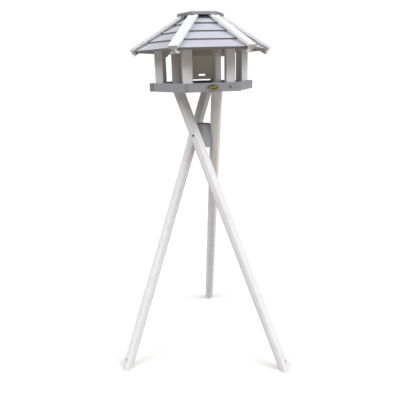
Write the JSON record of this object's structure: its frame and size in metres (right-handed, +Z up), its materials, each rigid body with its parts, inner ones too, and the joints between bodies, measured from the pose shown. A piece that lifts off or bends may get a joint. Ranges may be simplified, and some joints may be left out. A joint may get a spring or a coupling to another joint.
{
  "type": "bird feeder on stand",
  "caption": "Hexagonal wooden bird feeding house with a seed silo and lift-off cap, on a stand of crossed legs.",
  "frame": {"origin": "on the ground, at the centre of the box round the three feet", "axes": "+Z up, -Y out through the tray rail that carries the badge, +X to the right seen from that side"},
  "size_m": [0.692, 0.674, 1.3975],
  "materials": {
    "white_paint": "white painted softwood, satin, with a little grain showing",
    "roof_paint": "pale grey painted softwood with a lavender cast, satin",
    "grey_paint": "mid grey painted softwood, satin",
    "silo_wood": "olive grey painted board, matt",
    "screw_steel": "dull zinc steel",
    "badge_brass": "stamped brass with darkened hollows"
  },
  "bodies": {
    "root": {"floor_panel": "grey_paint", "rail_1": "grey_paint", "rail_2": "grey_paint", "rail_3": "grey_paint", "rail_4": "grey_paint", "rail_5": "grey_paint", "rail_6": "grey_paint", "post_1": "white_paint", "post_2": "white_paint", "post_3": "white_paint", "post_4": "white_paint", "post_5": "white_paint", "post_6": "white_paint", "rafter_1": "white_paint", "rafter_2": "white_paint", "rafter_3": "white_paint", "rafter_4": "white_paint", "rafter_5": "white_paint", "rafter_6": "white_paint", "roof_board_1_1": "roof_paint", "roof_board_1_2": "roof_paint", "roof_board_1_3": "roof_paint", "roof_board_1_4": "roof_paint", "roof_board_2_1": "roof_paint", "roof_board_2_2": "roof_paint", "roof_board_2_3": "roof_paint", "roof_board_2_4": "roof_paint", "roof_board_3_1": "roof_paint", "roof_board_3_2": "roof_paint", "roof_board_3_3": "roof_paint", "roof_board_3_4": "roof_paint", "roof_board_4_1": "roof_paint", "roof_board_4_2": "roof_paint", "roof_board_4_3": "roof_paint", "roof_board_4_4": "roof_paint", "roof_board_5_1": "roof_paint", "roof_board_5_2": "roof_paint", "roof_board_5_3": "roof_paint", "roof_board_5_4": "roof_paint", "roof_board_6_1": "roof_paint", "roof_board_6_2": "roof_paint", "roof_board_6_3": "roof_paint", "roof_board_6_4": "roof_paint", "crown_ring": "white_paint", "silo_wall_left": "silo_wood", "silo_wall_right": "silo_wood", "silo_panel_front": "silo_wood", "silo_panel_back": "silo_wood", "silo_header_front": "silo_wood", "silo_header_back": "silo_wood", "centre_block": "grey_paint", "leg_1": "white_paint", "leg_2": "white_paint", "leg_3": "white_paint", "leg_screws": "screw_steel", "frame_screws": "screw_steel", "badge": "badge_brass"},
    "cap": {"cap_plate": "grey_paint", "cap_plug": "grey_paint"}
  },
  "joints": [
    {"name": "cap_lift", "type": "slide", "parent": "root", "child": "cap", "axis": [0, 0, 1], "range_m": [0, 0.08]}
  ]
}
